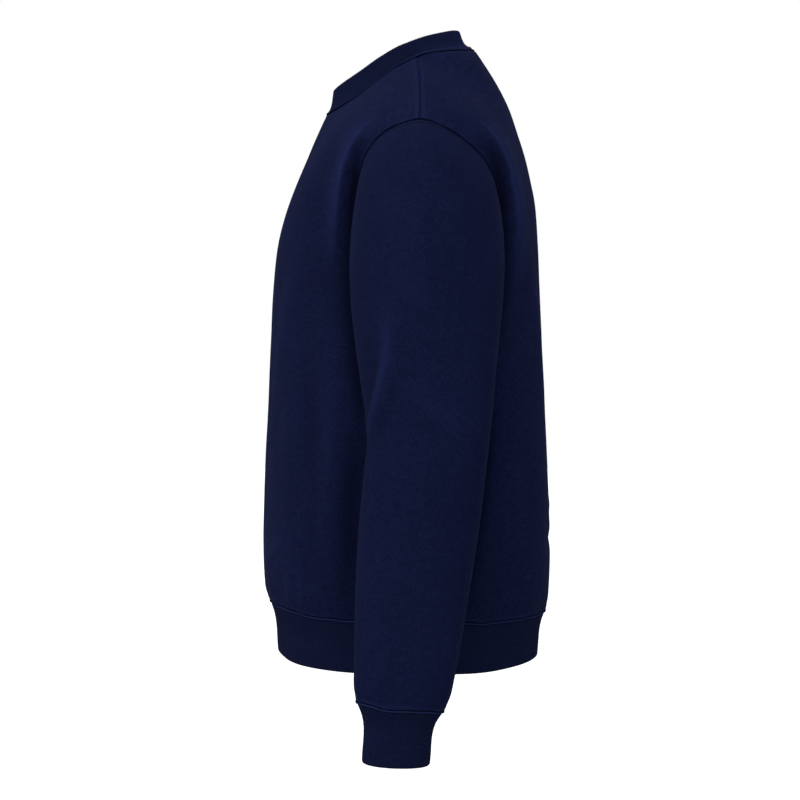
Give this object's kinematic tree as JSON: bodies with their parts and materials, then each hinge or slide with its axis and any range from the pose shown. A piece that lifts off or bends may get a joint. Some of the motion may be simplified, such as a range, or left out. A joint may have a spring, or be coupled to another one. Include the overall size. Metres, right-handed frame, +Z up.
{
  "type": "crewneck sweatshirt",
  "caption": "Crewneck sweatshirt in its worn form with no wearer: fleece front, back and long set-in sleeves, with a ribbed collar, cuffs and waistband.",
  "frame": {"origin": "midway between the two points where the shoulder seams meet the neck seam, at the middle of the neck opening", "axes": "+Z up along the body, towards the collar; -Y is the front; +X is the wearer's left"},
  "size_m": [0.637, 0.3115, 0.7532],
  "materials": {
    "fleece": "matt brushed-back cotton fleece, smooth jersey face outside",
    "rib": "matt one-by-one rib knit, folded double"
  },
  "bodies": {
    "root": {"front": "fleece", "back": "fleece", "sleeve_left": "fleece", "sleeve_right": "fleece", "collar": "rib", "cuff_left": "rib", "cuff_right": "rib", "waistband": "rib"}
  },
  "joints": []
}
